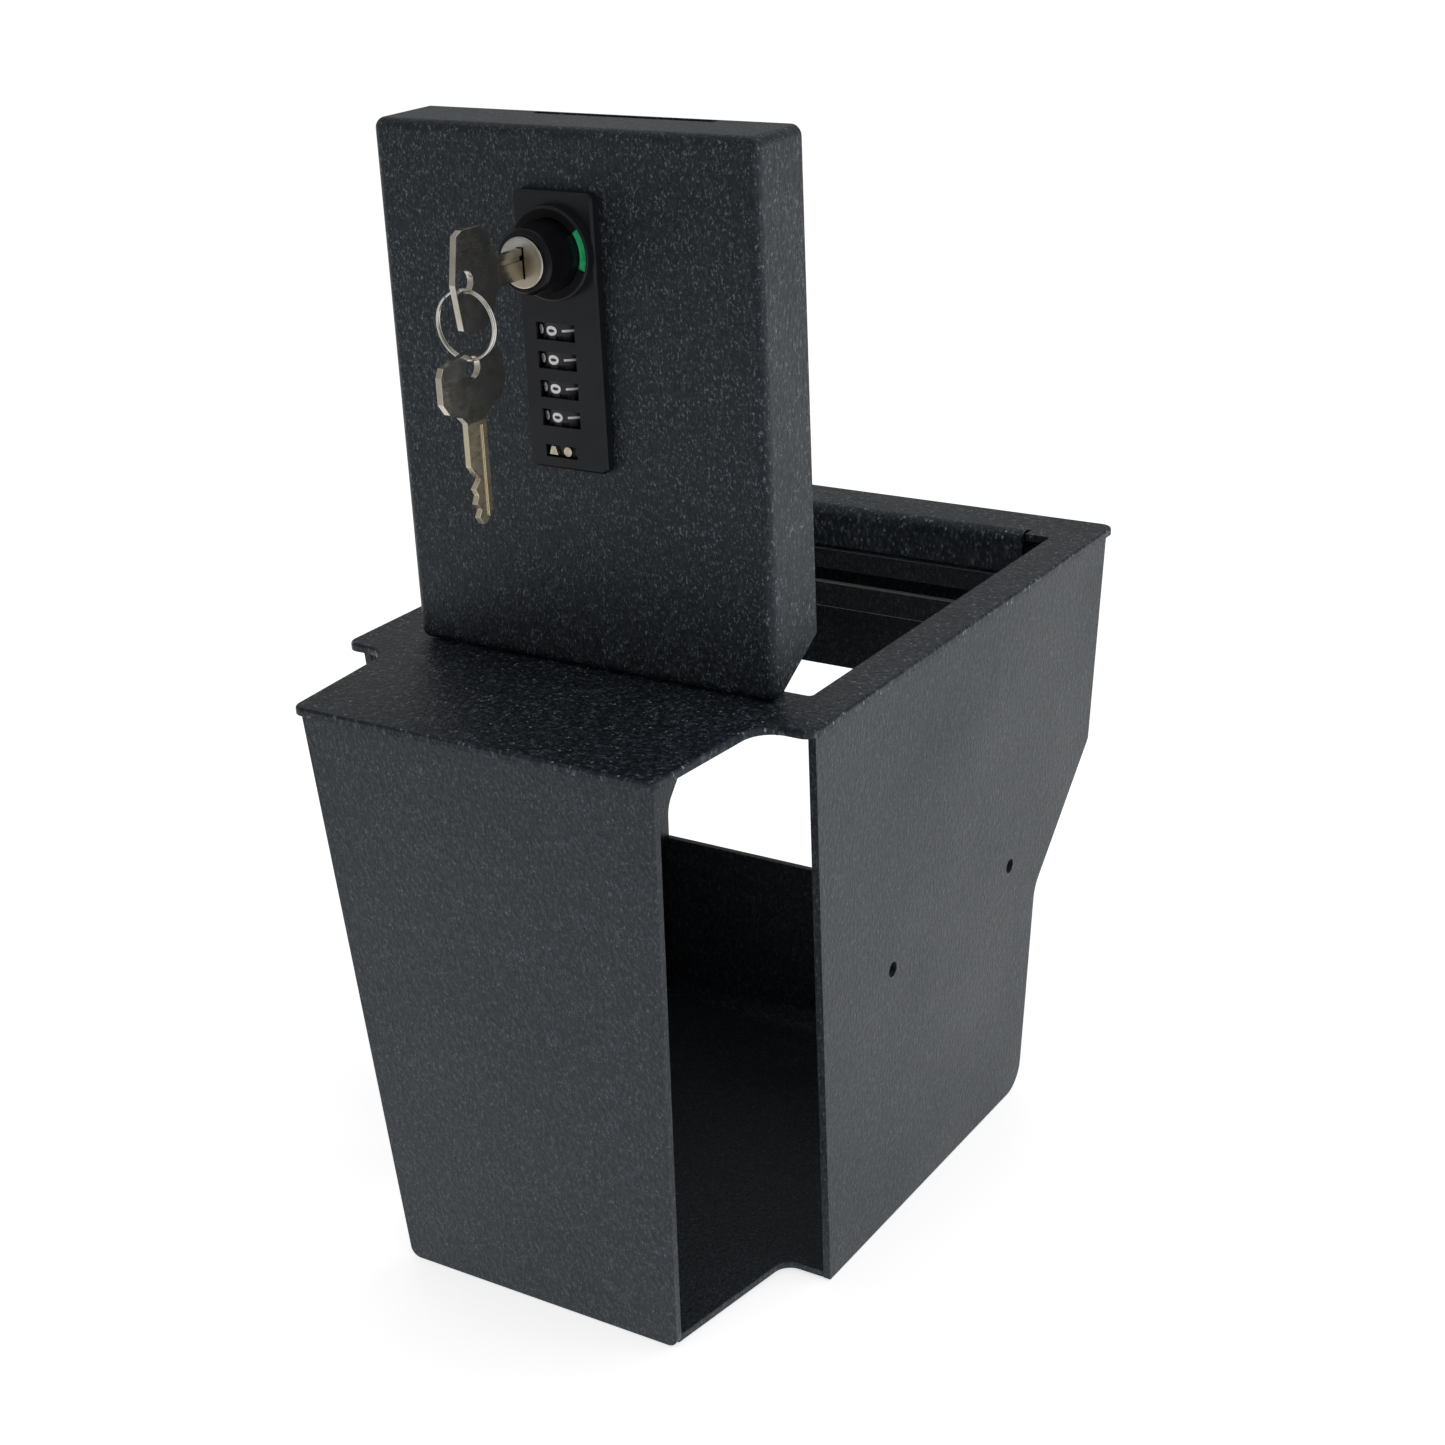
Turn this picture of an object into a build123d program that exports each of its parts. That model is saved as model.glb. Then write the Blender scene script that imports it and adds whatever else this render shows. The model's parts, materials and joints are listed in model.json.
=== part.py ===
from build123d import *
import os

os.makedirs("parts", exist_ok=True)

# ---------------------------------------------------------------- sizes (mm)
# Frame: X across the box, Y from the front panel to the rear, Z up, origin under the middle.
# Depths named below count rearward from the front edge of the top plate.
SHEET = 2.5                 # steel sheet of the box and of the lid
BOX_TOP = 195.0             # upper face of the top plate
DECK = BOX_TOP - SHEET      # underside of the top plate

# top plate
TONGUE_HALF = 63.7          # half width of the tongue at the front edge
TONGUE_FLARE = 0.0735       # widening of the tongue per mm of depth
WING_FRONT = 49.5
WING_ROUND = 4.5
RIM_ROUND = 0.9
PLATE_HALF = 84.7
PLATE_REAR = 257.4
OPEN_HALF = 70.25
OPEN_FRONT = 73.5
OPEN_REAR = 235.6
LIP_HALF = 59.5
LIP_DROP = 14.5
LIP_BEND = 4.0
RELIEF = 1.6
DATUM_Y = -PLATE_REAR / 2   # the plate's front edge in the frame

# walls
SIDE_TOP_HALF = 82.3        # outer face of a side panel at the deck
SIDE_FOOT_HALF = 74.8       # the same at the floor
SIDE_FRONT_TOP = 54.9
SIDE_FRONT_FOOT = 66.2
REAR_TOP = 255.5
KNEE_UPPER = (249.0, 117.5)
KNEE_LOWER = (208.8, 76.0)
REAR_FOOT = 202.3
FOOT_BEND = 10.0
FRONT_TOP_HALF = 62.2
FRONT_FOOT_HALF = 51.3
FRONT_TOP_Y = 2.6
FRONT_FOOT_Y = 13.4
REAR_UPPER_FOOT = 128.6     # lower edge of the upper rear panel
REAR_LOWER_TOP = 64.6       # upper edge of the lower rear wall
FIXING_Z = 93.4
FIXING_Y = (104.2, 187.5)
FIXING_HOLE = 5.0

# lid, standing open
LID_FACE = 62.6
LID_HALF = 65.0
LID_DEPTH = 24.0
LID_FOOT = BOX_TOP + 0.3
LID_LENGTH = 160.0
LID_BEND = 3.2
LID_HEM = 72.5              # rear edge of the short wall at the hinge
LID_SLANT = 0.59            # rise per mm of the side flanges at the hinge end
SLIT_X = 8.7                # slit near the rear edge of the lid's end wall, off centre
SLIT_HALF = 30.7
SLIT_DEPTH = 3.2
SLIT_STRIP = 0.8

# hinge
PIVOT_Y = 75.6
PIVOT_Z = BOX_TOP + 1.6
KNUCKLE = 2.4
LEAF = 1.2
PIN = 1.2
HINGE_HALF = 55.0
SEGMENTS = 11

# lock
LOCK_Z = 321.5              # axis of the knob
PLATE_W = 27.0
PLATE_H = 80.0
PLATE_MID = 298.3
PLATE_FRONT = LID_FACE - 3.5
COLLAR_R = 13.45
COLLAR_FRONT = 55.9
COLLAR_ROOF = 0.45
COLLAR_BORE = 10.4
COLLAR_ROOM = 12.95
DISC_R = 12.75              # disc behind the collar that carries the status sectors
SECTOR_IN = 10.5
SECTOR_OUT = 12.65
SECTOR_START = -20          # degrees, counted from +X towards +Z
SECTOR_ARC = 57
DIAL_X = -3.9
DIAL_Y = 68.1
DIAL_R = 8.0
DIAL_ROOM = 16.5            # width of the chamber round the dials
DIAL_W = 5.6
DIAL_PITCH = 8.43
DIAL_TOP = 298.65
WINDOW_X = -1.65
WINDOW_W = 13.3
WINDOW_H = 5.0
SKIN = 0.8                  # metal left in front of the dials
BAR_FRONT = 76.4
BAR_THICK = 1.9
BAR_W = 3.0
BAR_FOOT = 271.0
BAR_TOP = 312.1
RESET_X = -2.3
RESET_Z = 263.5
RESET_W = 11.0
RESET_H = 3.6
RESET_ROOM = 13.4           # width of the room the slider moves in
CASE_BACK = 86.6
CUT_HALF = 12.9
CUT_FOOT = 260.3
CUT_TOP = 334.9
CHAMBER_FOOT = 270.0
CHAMBER_TOP = 302.0
SCREWS = ((-8.2, 307.8), (8.2, 307.8), (-8.8, 267.6), (8.8, 267.6))
PLUG_FRONT = 43.3

# latch
CAM_THICK = 3.0
CAM_HUB_Y = 88.6
CAM_TIP_Y = 102.95
CAM_REACH = 46.0
CAM_HALF = 7.0
STRIKE_Y = 238.2
STRIKE_FOOT = 155.6
STRIKE_TOP = 177.9
SLOT_MID = 167.75
SLOT_H = 5.4
SLOT_L = 96.0
STRIKE_HALF = 62.0

# keys
KEY_APEX_Y = 12.6
KEY_LENGTH = 48.8
KEY_HOLE_AT = 4.7
KEY_HOLE_R = 3.15
BOW_THICK = 1.9
BLADE_THICK = 1.7
RING_R = 9.4
RING_WIRE = 0.85
HANG_GAP = 0.2


def lean(z):
    """Half width of the outer faces of the side panels at height z."""
    return SIDE_FOOT_HALF + (SIDE_TOP_HALF - SIDE_FOOT_HALF) * z / DECK


def rear(z):
    """Outer face of the upper rear wall at height z."""
    slope = (REAR_TOP - KNEE_UPPER[0]) / (DECK - KNEE_UPPER[1])
    return KNEE_UPPER[0] + slope * (z - KNEE_UPPER[1])


def facing(y):
    """Sketch plane square to Y, y behind the plate's front edge; negative runs rearward."""
    return Plane(origin=(0, DATUM_Y + y, 0), x_dir=(1, 0, 0), z_dir=(0, -1, 0))


def section(x):
    """Sketch plane square to X; its x is the depth behind the plate's front edge."""
    return Plane(origin=(x, DATUM_Y, 0), x_dir=(0, 1, 0), z_dir=(1, 0, 0))


def level(z):
    """Sketch plane square to Z; its y is the depth behind the plate's front edge."""
    return Plane(origin=(0, DATUM_Y, z), x_dir=(1, 0, 0), z_dir=(0, 0, 1))


# ------------------------------------------------------------------ top plate
notch_x = TONGUE_HALF + TONGUE_FLARE * WING_FRONT
with BuildPart() as top_plate:
    with BuildSketch(level(DECK)) as plate_face:
        with BuildLine() as plate_edge:
            Polyline(
                (-TONGUE_HALF, 0),
                (TONGUE_HALF, 0),
                (notch_x, WING_FRONT),
                (PLATE_HALF, WING_FRONT),
                (PLATE_HALF, PLATE_REAR),
                (-PLATE_HALF, PLATE_REAR),
                (-PLATE_HALF, WING_FRONT),
                (-notch_x, WING_FRONT),
                close=True,
            )
        make_face()
        corners = plate_face.vertices()
        fillet(corners.filter_by_position(Axis.Y, -1, 1), radius=4.0)
        inner = plate_face.vertices().filter_by_position(Axis.X, notch_x - 0.5, notch_x + 0.5)
        fillet(inner, radius=9.0)
        inner = plate_face.vertices().filter_by_position(Axis.X, -notch_x - 0.5, -notch_x + 0.5)
        fillet(inner, radius=9.0)
        outer = plate_face.vertices().filter_by_position(Axis.X, PLATE_HALF - 0.1, PLATE_HALF + 0.1)
        fillet(outer, radius=WING_ROUND)
        outer = plate_face.vertices().filter_by_position(Axis.X, -PLATE_HALF - 0.1, -PLATE_HALF + 0.1)
        fillet(outer, radius=WING_ROUND)
        with Locations((0, (OPEN_FRONT + OPEN_REAR) / 2)):
            RectangleRounded(2 * OPEN_HALF, OPEN_REAR - OPEN_FRONT, 1.5, mode=Mode.SUBTRACT)
    extrude(amount=SHEET)
    # rear edge of the opening turned down as a lip
    with BuildSketch(level(BOX_TOP - LIP_DROP)) as lip_foot:
        with Locations((0, OPEN_REAR + SHEET / 2)):
            Rectangle(2 * LIP_HALF, SHEET)
    extrude(amount=LIP_DROP)
    # relief cuts beside the lip
    with BuildSketch(level(DECK)) as reliefs:
        with Locations((LIP_HALF + RELIEF / 2, OPEN_REAR + 2), (-LIP_HALF - RELIEF / 2, OPEN_REAR + 2)):
            Rectangle(RELIEF, 5.5)
    extrude(amount=SHEET, mode=Mode.SUBTRACT)
    bend_edge = top_plate.edges().filter_by(Axis.X)
    bend_edge = bend_edge.filter_by_position(Axis.Z, BOX_TOP - 0.1, BOX_TOP + 0.1)
    bend_y = DATUM_Y + OPEN_REAR
    bend_edge = bend_edge.filter_by_position(Axis.Y, bend_y - 0.1, bend_y + 0.1)
    fillet([e for e in bend_edge if abs(e.center().X) < 5], radius=LIP_BEND)
    # rim rounded by the thick coat
    fillet(top_plate.faces().sort_by(Axis.Z)[-1].outer_wire().edges(), radius=RIM_ROUND)
top_plate.part.label = "top_plate"
export_step(top_plate.part, "parts/top_plate.step")

# ---------------------------------------------------------------- front panel
with BuildPart() as front_panel:
    with BuildSketch(section(0)) as front_section:
        with BuildLine() as front_section_edge:
            Polyline(
                (FRONT_TOP_Y, DECK),
                (FRONT_TOP_Y + SHEET, DECK),
                (FRONT_FOOT_Y + SHEET, 0),
                (FRONT_FOOT_Y, 0),
                close=True,
            )
        make_face()
    extrude(amount=FRONT_TOP_HALF + 5, both=True)
    with BuildSketch(facing(0)) as front_outline:
        with BuildLine() as front_outline_edge:
            Polyline(
                (-FRONT_TOP_HALF, DECK),
                (FRONT_TOP_HALF, DECK),
                (FRONT_FOOT_HALF, 0),
                (-FRONT_FOOT_HALF, 0),
                close=True,
            )
        make_face()
        fillet(front_outline.vertices().filter_by_position(Axis.Y, -1, 1), radius=3.5)
    extrude(amount=-40, mode=Mode.INTERSECT)
front_panel.part.label = "front_panel"
export_step(front_panel.part, "parts/front_panel.step")

# ---------------------------------------------------------------- side panels
with BuildPart() as side_panel:
    with BuildSketch(facing(0)) as side_section:
        with BuildLine() as side_section_edge:
            Polyline(
                (SIDE_FOOT_HALF - SHEET, 0),
                (SIDE_FOOT_HALF, 0),
                (SIDE_TOP_HALF, DECK),
                (SIDE_TOP_HALF - SHEET, DECK),
                close=True,
            )
        make_face()
    extrude(amount=-280)
    with BuildSketch(section(0)) as side_outline:
        with BuildLine() as side_outline_edge:
            Polyline(
                (SIDE_FRONT_TOP, DECK),
                (SIDE_FRONT_FOOT, 0),
                (REAR_FOOT, 0),
                KNEE_LOWER,
                KNEE_UPPER,
                (REAR_TOP, DECK),
                close=True,
            )
        make_face()
        fillet(side_outline.vertices().sort_by_distance((REAR_FOOT, 0, 0))[0], radius=FOOT_BEND)
        fillet(side_outline.vertices().sort_by_distance((*KNEE_LOWER, 0))[0], radius=12.0)
        fillet(side_outline.vertices().sort_by_distance((*KNEE_UPPER, 0))[0], radius=4.0)
        with Locations((FIXING_Y[0], FIXING_Z), (FIXING_Y[1], FIXING_Z)):
            Circle(FIXING_HOLE / 2, mode=Mode.SUBTRACT)
    extrude(amount=100, mode=Mode.INTERSECT)
side_panel.part.label = "side_panel_right"
export_step(side_panel.part, "parts/side_panel_right.step")

side_left = mirror(side_panel.part, about=Plane.YZ)
side_left.label = "side_panel_left"
export_step(side_left, "parts/side_panel_left.step")

# ------------------------------------------- floor folded up into the rear wall
wall_run = KNEE_LOWER[0] - REAR_FOOT
wall_rise = KNEE_LOWER[1]
wall_lean = wall_run / wall_rise
with BuildPart() as floor_pan:
    with BuildSketch(section(0)) as pan_section:
        with BuildLine() as pan_section_edge:
            Polyline(
                (FRONT_FOOT_Y + SHEET, 0),
                (REAR_FOOT, 0),
                (REAR_FOOT + wall_lean * REAR_LOWER_TOP, REAR_LOWER_TOP),
                (REAR_FOOT + wall_lean * REAR_LOWER_TOP - SHEET, REAR_LOWER_TOP),
                (REAR_FOOT - SHEET + wall_lean * SHEET, SHEET),
                (FRONT_FOOT_Y + SHEET, SHEET),
                close=True,
            )
        make_face()
        fillet(pan_section.vertices().sort_by_distance((REAR_FOOT, 0, 0))[0], radius=FOOT_BEND)
        inside = (REAR_FOOT - SHEET + wall_lean * SHEET, SHEET, 0)
        fillet(pan_section.vertices().sort_by_distance(inside)[0], radius=FOOT_BEND - SHEET)
    extrude(amount=100, both=True)
    with BuildSketch(facing(0)) as pan_front:
        with BuildLine() as pan_front_edge:
            foot = SIDE_FOOT_HALF - SHEET
            top = lean(REAR_LOWER_TOP) - SHEET
            Polyline((-foot, 0), (foot, 0), (top, REAR_LOWER_TOP), (-top, REAR_LOWER_TOP), close=True)
        make_face()
    extrude(amount=-300, mode=Mode.INTERSECT)
    with BuildSketch(level(0)) as pan_plan:
        with BuildLine() as pan_plan_edge:
            Polyline(
                (-FRONT_FOOT_HALF + 1.2, FRONT_FOOT_Y),
                (FRONT_FOOT_HALF - 1.2, FRONT_FOOT_Y),
                (58.3, SIDE_FRONT_FOOT),
                (100, SIDE_FRONT_FOOT),
                (100, 300),
                (-100, 300),
                (-100, SIDE_FRONT_FOOT),
                (-58.3, SIDE_FRONT_FOOT),
                close=True,
            )
        make_face()
        neck = [v for v in pan_plan.vertices() if abs(abs(v.X) - 58.3) < 0.1]
        fillet(neck, radius=6.0)
    extrude(amount=100, mode=Mode.INTERSECT)
floor_pan.part.label = "floor_pan"
export_step(floor_pan.part, "parts/floor_pan.step")

# ----------------------------------------------------------- upper rear panel
with BuildPart() as rear_panel:
    with BuildSketch(section(0)) as rear_section:
        with BuildLine() as rear_section_edge:
            Polyline(
                (rear(REAR_UPPER_FOOT), REAR_UPPER_FOOT),
                (REAR_TOP, DECK),
                (REAR_TOP - SHEET, DECK),
                (rear(REAR_UPPER_FOOT) - SHEET, REAR_UPPER_FOOT),
                close=True,
            )
        make_face()
    extrude(amount=100, both=True)
    with BuildSketch(facing(0)) as rear_outline:
        with BuildLine() as rear_outline_edge:
            foot = lean(REAR_UPPER_FOOT) - SHEET
            top = SIDE_TOP_HALF - SHEET
            Polyline((-foot, REAR_UPPER_FOOT), (foot, REAR_UPPER_FOOT), (top, DECK), (-top, DECK), close=True)
        make_face()
    extrude(amount=-300, mode=Mode.INTERSECT)
rear_panel.part.label = "rear_panel_upper"
export_step(rear_panel.part, "parts/rear_panel_upper.step")

# --------------------------------------------------- slotted strike for the cam
with BuildPart() as strike_plate:
    with BuildSketch(facing(STRIKE_Y)) as strike_face:
        with Locations((0, (STRIKE_TOP + STRIKE_FOOT) / 2)):
            Rectangle(2 * STRIKE_HALF, STRIKE_TOP - STRIKE_FOOT)
        with Locations((0, SLOT_MID)):
            SlotOverall(SLOT_L, SLOT_H, mode=Mode.SUBTRACT)
    extrude(amount=-SHEET)
    with BuildSketch(section(0)) as strike_leg:
        with BuildLine() as strike_leg_edge:
            Polyline(
                (STRIKE_Y, STRIKE_FOOT),
                (rear(STRIKE_FOOT) - SHEET, STRIKE_FOOT),
                (rear(STRIKE_TOP) - SHEET, STRIKE_TOP),
                (STRIKE_Y, STRIKE_TOP),
                close=True,
            )
        make_face()
    extrude(amount=STRIKE_HALF, both=True)
    with BuildSketch(facing(STRIKE_Y + SHEET)) as strike_room:
        with Locations((0, (STRIKE_TOP + STRIKE_FOOT) / 2)):
            Rectangle(2 * (STRIKE_HALF - SHEET), STRIKE_TOP - STRIKE_FOOT + 2)
    extrude(amount=-30, mode=Mode.SUBTRACT)
    with BuildSketch(facing(STRIKE_Y)) as strike_slot:
        with Locations((0, SLOT_MID)):
            SlotOverall(SLOT_L, SLOT_H)
    extrude(amount=-SHEET, mode=Mode.SUBTRACT)
strike_plate.part.label = "strike_plate"
export_step(strike_plate.part, "parts/strike_plate.step")

# ------------------------------------------------ tabs the closed lid rests on
CLOSED_RIM = PIVOT_Z + PIVOT_Y - LID_FACE - LID_DEPTH
TAB_TOP = CLOSED_RIM - 0.3
with BuildPart() as rest_tab:
    with BuildSketch(facing(219)) as tab_face:
        with BuildLine() as tab_edge:
            Polyline(
                (60, TAB_TOP),
                (60, TAB_TOP - SHEET),
                (lean(TAB_TOP - SHEET) - SHEET - 2.5, TAB_TOP - SHEET),
                (lean(TAB_TOP - 14) - SHEET - 2.5, TAB_TOP - 14),
                (lean(TAB_TOP - 14) - SHEET, TAB_TOP - 14),
                (lean(TAB_TOP) - SHEET, TAB_TOP),
                close=True,
            )
        make_face()
    extrude(amount=-14)
rest_tab.part.label = "rest_tab_right"
export_step(rest_tab.part, "parts/rest_tab_right.step")

tab_left = mirror(rest_tab.part, about=Plane.YZ)
tab_left.label = "rest_tab_left"
export_step(tab_left, "parts/rest_tab_left.step")

# --------------------------------------------------- angle under the hinge side
with BuildPart() as hinge_angle:
    with BuildSketch(section(0)) as angle_section:
        with BuildLine() as angle_edge:
            Polyline(
                (58, DECK),
                (58, DECK - SHEET),
                (PIVOT_Y - 1.3, DECK - SHEET),
                (PIVOT_Y - 1.3, DECK - 12.5),
                (PIVOT_Y + 1.2, DECK - 12.5),
                (PIVOT_Y + 1.2, DECK),
                close=True,
            )
        make_face()
    extrude(amount=58, both=True)
    with BuildSketch(facing(PIVOT_Y - 1.3)) as rivet_holes:
        with Locations((-45, 187), (-15, 187), (15, 187), (45, 187)):
            Circle(1.55)
    extrude(amount=-SHEET, mode=Mode.SUBTRACT)
hinge_angle.part.label = "hinge_angle"
export_step(hinge_angle.part, "parts/hinge_angle.step")

# --------------------------------------------------------------- piano hinge
PITCH = 2 * HINGE_HALF / SEGMENTS
fixed_mid = [-HINGE_HALF + PITCH * (i + 0.5) for i in range(0, SEGMENTS, 2)]
lid_mid = [-HINGE_HALF + PITCH * (i + 0.5) for i in range(1, SEGMENTS, 2)]

with BuildPart() as leaf_fixed:
    with BuildSketch(section(0)) as fixed_section:
        with Locations((PIVOT_Y + KNUCKLE - LEAF / 2, PIVOT_Z - 7.2)):
            Rectangle(LEAF, 14.4)
        with Locations((PIVOT_Y, PIVOT_Z)):
            Circle(KNUCKLE)
    extrude(amount=HINGE_HALF, both=True)
    with BuildSketch(section(0)) as fixed_pin_hole:
        with Locations((PIVOT_Y, PIVOT_Z)):
            Circle(PIN + 0.05)
    extrude(amount=HINGE_HALF, both=True, mode=Mode.SUBTRACT)
    with BuildSketch(level(PIVOT_Z - KNUCKLE - 0.4)) as fixed_gaps:
        with Locations([(x, PIVOT_Y) for x in lid_mid]):
            Rectangle(PITCH + 0.3, 2 * KNUCKLE + 1)
    extrude(amount=2 * KNUCKLE + 1, mode=Mode.SUBTRACT)
    with BuildSketch(facing(PIVOT_Y)) as fixed_rivet_holes:
        with Locations((-45, 187), (-15, 187), (15, 187), (45, 187)):
            Circle(1.55)
    extrude(amount=-5, mode=Mode.SUBTRACT)
leaf_fixed.part.label = "hinge_leaf_fixed"
export_step(leaf_fixed.part, "parts/hinge_leaf_fixed.step")

with BuildPart() as leaf_lid:
    with BuildSketch(section(0)) as lid_section:
        with Locations((PIVOT_Y - 5.1, PIVOT_Z + KNUCKLE - LEAF / 2)):
            Rectangle(10.2, LEAF)
        with Locations((PIVOT_Y, PIVOT_Z)):
            Circle(KNUCKLE)
    extrude(amount=HINGE_HALF, both=True)
    with BuildSketch(section(0)) as lid_pin_hole:
        with Locations((PIVOT_Y, PIVOT_Z)):
            Circle(PIN + 0.05)
    extrude(amount=HINGE_HALF, both=True, mode=Mode.SUBTRACT)
    with BuildSketch(level(PIVOT_Z - KNUCKLE - 1)) as lid_gaps:
        with Locations([(x, PIVOT_Y + 0.5) for x in fixed_mid]):
            Rectangle(PITCH + 0.3, 2 * KNUCKLE + 1.6)
    extrude(amount=2 * KNUCKLE + 2, mode=Mode.SUBTRACT)
    with BuildSketch(level(PIVOT_Z)) as lid_rivet_holes:
        with Locations((-45, 68), (-15, 68), (15, 68), (45, 68)):
            Circle(1.55)
    extrude(amount=5, mode=Mode.SUBTRACT)
leaf_lid.part.label = "hinge_leaf_lid"
export_step(leaf_lid.part, "parts/hinge_leaf_lid.step")

with BuildPart() as hinge_pin:
    with BuildSketch(section(-HINGE_HALF)) as pin_section:
        with Locations((PIVOT_Y, PIVOT_Z)):
            Circle(PIN)
    extrude(amount=2 * HINGE_HALF)
hinge_pin.part.label = "hinge_pin"
export_step(hinge_pin.part, "parts/hinge_pin.step")

with BuildPart() as rivets_fixed:
    with BuildSketch(facing(PIVOT_Y - 1.3)) as fixed_shanks:
        with Locations((-45, 187), (-15, 187), (15, 187), (45, 187)):
            Circle(1.5)
    extrude(amount=-(SHEET + LEAF))
    with BuildSketch(facing(PIVOT_Y - 2.2)) as fixed_tails:
        with Locations((-45, 187), (-15, 187), (15, 187), (45, 187)):
            Circle(2.6)
    extrude(amount=-0.9)
    with BuildSketch(facing(PIVOT_Y + KNUCKLE)) as fixed_heads:
        with Locations((-45, 187), (-15, 187), (15, 187), (45, 187)):
            Circle(2.6)
    extrude(amount=-1.0)
rivets_fixed.part.label = "hinge_rivets_fixed"
export_step(rivets_fixed.part, "parts/hinge_rivets_fixed.step")

with BuildPart() as rivets_lid:
    with BuildSketch(level(LID_FOOT + 0.1)) as lid_shanks:
        with Locations((-45, 68), (-15, 68), (15, 68), (45, 68)):
            Circle(1.5)
    extrude(amount=SHEET + LEAF - 0.1)
    with BuildSketch(level(LID_FOOT + SHEET + LEAF)) as lid_heads:
        with Locations((-45, 68), (-15, 68), (15, 68), (45, 68)):
            Circle(2.6)
    extrude(amount=1.0)
rivets_lid.part.label = "hinge_rivets_lid"
export_step(rivets_lid.part, "parts/hinge_rivets_lid.step")

# ------------------------------------------------------------------------ lid
LID_MID = LID_FOOT + LID_LENGTH / 2
with BuildPart() as lid_shell:
    with BuildSketch(facing(LID_FACE)) as lid_outline:
        with Locations((0, LID_MID)):
            RectangleRounded(2 * LID_HALF, LID_LENGTH, LID_BEND)
    extrude(amount=-LID_DEPTH)
    face_rim = lid_shell.faces().sort_by(Axis.Y)[0].edges()
    fillet(face_rim, radius=LID_BEND - 0.2)
    with BuildSketch(facing(LID_FACE + SHEET)) as lid_room:
        with Locations((0, LID_MID)):
            RectangleRounded(2 * (LID_HALF - SHEET), LID_LENGTH - 2 * SHEET, 0.8)
    extrude(amount=-LID_DEPTH, mode=Mode.SUBTRACT)
    # hinge end: short wall, slanted side flanges
    with BuildSketch(section(0)) as hinge_end:
        with BuildLine() as hinge_end_edge:
            Polyline(
                (LID_HEM, LID_FOOT - 5),
                (LID_HEM, LID_FOOT + LID_SLANT * (LID_HEM - LID_FACE)),
                (LID_FACE + 40, LID_FOOT + LID_SLANT * 40),
                (LID_FACE + 40, LID_FOOT - 5),
                close=True,
            )
        make_face()
    extrude(amount=LID_HALF + 5, both=True, mode=Mode.SUBTRACT)
    with BuildSketch(section(0)) as flange_slant:
        with BuildLine() as flange_slant_edge:
            Polyline(
                (LID_FACE + SHEET + 0.7, LID_FOOT - 5),
                (LID_FACE + SHEET + 0.7, LID_FOOT + LID_SLANT * (SHEET + 0.7)),
                (LID_HEM + 1, LID_FOOT + LID_SLANT * (LID_HEM + 1 - LID_FACE)),
                (LID_HEM + 1, LID_FOOT - 5),
                close=True,
            )
        make_face()
    extrude(amount=LID_HALF + 5, both=True, mode=Mode.SUBTRACT)
    with BuildSketch(section(-(LID_HALF - LID_BEND))) as hem_section:
        with Locations(((LID_FACE + SHEET + 0.2 + LID_HEM) / 2, LID_FOOT + SHEET / 2)):
            Rectangle(LID_HEM - LID_FACE - SHEET - 0.2, SHEET)
    extrude(amount=2 * (LID_HALF - LID_BEND))
    # cut-out for the lock, slit in the end wall, holes for the rivets
    with BuildSketch(facing(LID_FACE)) as lock_cutout:
        with Locations((0, (CUT_FOOT + CUT_TOP) / 2)):
            RectangleRounded(2 * CUT_HALF, CUT_TOP - CUT_FOOT, 1.0)
    extrude(amount=-SHEET, mode=Mode.SUBTRACT)
    with BuildSketch(level(LID_FOOT + LID_LENGTH - SHEET - 0.5)) as end_slit:
        with Locations((SLIT_X, LID_FACE + LID_DEPTH - SLIT_STRIP - SLIT_DEPTH / 2)):
            Rectangle(2 * SLIT_HALF, SLIT_DEPTH)
    extrude(amount=5, mode=Mode.SUBTRACT)
    with BuildSketch(level(LID_FOOT - 1)) as hem_holes:
        with Locations((-45, 68), (-15, 68), (15, 68), (45, 68)):
            Circle(1.55)
    extrude(amount=5, mode=Mode.SUBTRACT)
lid_shell.part.label = "lid_shell"
export_step(lid_shell.part, "parts/lid_shell.step")

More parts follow.
